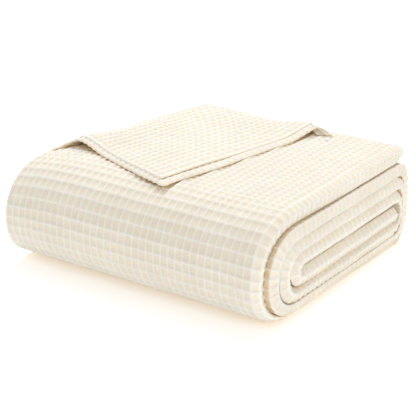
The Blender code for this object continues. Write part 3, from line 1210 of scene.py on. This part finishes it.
# %% Sew the hems
def hem_path(name, hem_lines):
    """An object of edges only, along the hem lines of one ply."""
    points, edges = [], []
    for hem in hem_lines:
        if len(hem) > 1:
            first = len(points)
            points += hem.tolist()
            edges += [(first + k, first + k + 1) for k in range(len(hem) - 1)]
    mesh = bpy.data.meshes.new(name)
    mesh.from_pydata(points, edges, [])
    return add_object(name, mesh)


def sewn(name, hem_lines):
    """One mesh of stitches along the hem lines of one ply."""
    path = hem_path(name + "_path", hem_lines)
    sewing = path.modifiers.new("sewing", "NODES")
    sewing.node_group = STITCHES
    for socket in STITCHES.interface.items_tree:
        if socket.in_out == "INPUT" and socket.name in STITCH_SIZES:
            sewing[socket.identifier] = STITCH_SIZES[socket.name]
    mesh = bpy.data.meshes.new_from_object(path.evaluated_get(bpy.context.evaluated_depsgraph_get()))
    bpy.data.objects.remove(path)
    mesh.shade_smooth()
    print(name, len(mesh.polygons) // BEAD_FACES, "stitches")
    return add_object(name, mesh)


stitches = [
    sewn("stitches_lower", lower_ply[3]),
    sewn("stitches_fold", upper_fold[3]),
    sewn("stitches_upper", upper_ply[3]),
]

# %% [markdown]
# ## Joining the wraps to the bundle
# The rolled wraps don't move on each other, so all eight sheets ride the bundle, and the imported solid that each
# stands for is hidden. Each sheet's size laid flat is carried along, but nothing here uses it.

# %% Join the wraps
for index, (solid, sheet, flat) in enumerate(wraps):
    sheet.data.materials.append(COTTON)
    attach(sheet, "bundle")
    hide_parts(solid)
print(len(wraps), "sheets ride the bundle")

# %% [markdown]
# ## Joining the corner
# Each ply of the corner gets the cotton, its placement is baked into its points, and the solids that it stands for
# are hidden;
# the stitches get their placement baked too. A short span across each hinge is worked out, but nothing here uses
# it.

# %% Join the corner and its stitches
HINGE_REACH = 0.016
HINGE_HEIGHT = 0.128
FOLD_BACKWARD = 0.020
UPPER_FORWARD = 0.022
LOWER_BODIES = ("bundle", "corner_lower")
UPPER_BODIES = ("corner_lower", "corner_upper")


def hinge_span(hinge):
    near = hinge - HINGE_FORWARD * HINGE_REACH
    far = hinge + HINGE_FORWARD * HINGE_REACH
    return {"start": (near[0], near[1], HINGE_HEIGHT), "end": (far[0], far[1], HINGE_HEIGHT)}


lower_span = hinge_span(HINGE_LOWER)
fold_span = hinge_span(HINGE_LOWER - HINGE_FORWARD * FOLD_BACKWARD)
upper_span = hinge_span(HINGE_UPPER + HINGE_FORWARD * UPPER_FORWARD)
joined = [
    (lower_ply, LOWER_BODIES, lower_span, ["corner_fold_lower", "turned_corner_lower", "corner_hem_lower"]),
    (upper_fold, LOWER_BODIES, fold_span, ["corner_fold_upper"]),
    (upper_ply, UPPER_BODIES, upper_span, ["turned_corner_upper", "corner_hem_upper"]),
]
for (sheet, flat, area, _), bodies, span, solids in joined:
    sheet.data.materials.append(COTTON)
    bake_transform(sheet)
    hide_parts(*solids)
for row, (_, bodies, span, _) in zip(stitches, joined):
    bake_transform(row)
print(len(joined), "plies and", len(stitches), "rows of stitches bend at their hinges")

# %% [markdown]
# ## Floor and light
# A white floor under broad, even light gives the soft contact shadow of a bright studio. The floor glows very
# slightly, so that it stays white between the lamps. One large lamp hangs overhead, and two weaker ones fill
# the front and the folded end.

# %% Floor and world
scene.view_settings.view_transform = "Standard"
bpy.ops.mesh.primitive_plane_add(size=12, location=(0, 2.0, 0))
floor = bpy.context.object
floor.name = "floor"
FLOOR_VALUES = {
    "Base Color": (0.95, 0.95, 0.95, 1),
    "Roughness": 0.9,
    "Emission Color": (1, 1, 1, 1),
    "Emission Strength": 0.25,
}
floor.data.materials.append(new_finish("white_floor", FLOOR_VALUES)[0])

world = bpy.data.worlds.new("studio")
world.use_nodes = True
preset(world.node_tree.nodes["Background"], {"Color": (1, 0.975, 0.94, 1), "Strength": 0.72})
scene.world = world


# %% Lamps
def soft_light(name, place, target, size, power):
    data = bpy.data.lights.new(name, "AREA")
    data.size = size
    data.energy = power
    made = add_object(name, data)
    made.location = place
    aim = np.array(target) - np.array(place)
    made.rotation_euler = Vector(aim).to_track_quat("-Z", "Y").to_euler()


soft_light("overhead", (-0.5, 0.9, 2.0), (0, 0, 0), 1.7, 31)
soft_light("front_fill", (0.2, -2.2, 1.8), (0, 0, 0.05), 1.8, 3.5)
soft_light("right_fill", (2.4, -0.6, 0.9), (0, 0, 0.05), 1.2, 10)
print("lamps:", len(bpy.data.lights))

# %% [markdown]
# ## The camera
# The camera stands in front and to the right, and looks down at the bundle's folded end. A long lens keeps
# the roll's edges nearly parallel.

# %% Camera
ELEVATION, AZIMUTH = math.radians(21.9), math.radians(34.6)
camera_data = bpy.data.cameras.new("camera")
camera_data.sensor_width = 36.0
camera_data.lens = 114.06
camera = add_object("camera", camera_data)
camera.location = (0.828, -1.210, 0.644)
looking = Vector(
    (-math.sin(AZIMUTH) * math.cos(ELEVATION), math.cos(AZIMUTH) * math.cos(ELEVATION), -math.sin(ELEVATION))
)
camera.rotation_euler = looking.to_track_quat("-Z", "Y").to_euler()
scene.camera = camera
print("camera", round(camera.location.length, 2), "m from the bundle")
